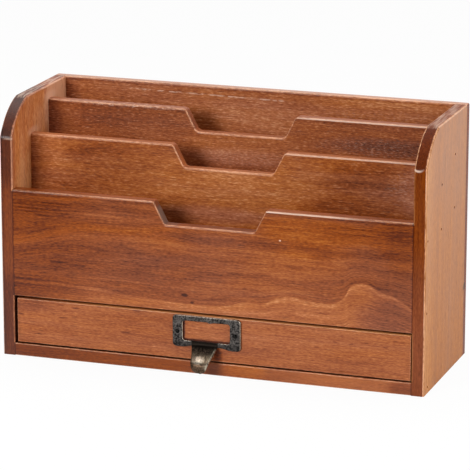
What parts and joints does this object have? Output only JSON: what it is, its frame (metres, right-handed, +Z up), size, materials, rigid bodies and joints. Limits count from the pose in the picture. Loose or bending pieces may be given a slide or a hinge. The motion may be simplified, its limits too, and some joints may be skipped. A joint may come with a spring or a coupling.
{
  "type": "desk letter rack with drawer",
  "caption": "Upright wooden desk letter rack: stepped dividers with thumb notches, rounded side panels, and a full-width drawer below with a metal label-frame finger pull.",
  "frame": {"origin": "centre of the wooden case's footprint, on the surface it stands on", "axes": "+X to the right seen from the front, +Y from the front to the back, +Z up"},
  "size_m": [0.34, 0.1359, 0.2],
  "materials": {
    "board_wood": "red-brown stain under satin varnish, grain along the board",
    "side_wood": "red-brown stain under satin varnish, upright grain",
    "drawer_wood": "lighter red-brown stain under satin varnish",
    "drawer_sheet": "thin plywood, stained",
    "brad_steel": "dull dark steel wire",
    "antique_bronze": "blackened antique bronze with bright worn edges",
    "screw_steel": "blackened steel"
  },
  "bodies": {
    "case": {"left_side_panel": "side_wood", "right_side_panel": "side_wood", "back_panel": "board_wood", "base_panel": "board_wood", "slot_floor": "board_wood", "front_panel": "board_wood", "middle_divider": "board_wood", "rear_divider": "board_wood", "left_side_brads": "brad_steel", "right_side_brads": "brad_steel", "back_brads": "brad_steel"},
    "drawer": {"drawer_front": "drawer_wood", "drawer_left_side": "drawer_wood", "drawer_right_side": "drawer_wood", "drawer_back": "drawer_wood", "drawer_bottom": "drawer_sheet", "drawer_front_brads": "brad_steel", "drawer_back_brads": "brad_steel", "drawer_bottom_brads": "brad_steel", "label_frame": "antique_bronze", "label_frame_screws": "screw_steel"}
  },
  "joints": [
    {"name": "drawer_slide", "type": "slide", "parent": "case", "child": "drawer", "axis": [0, -1, 0], "range_m": [0, 0.09]}
  ]
}
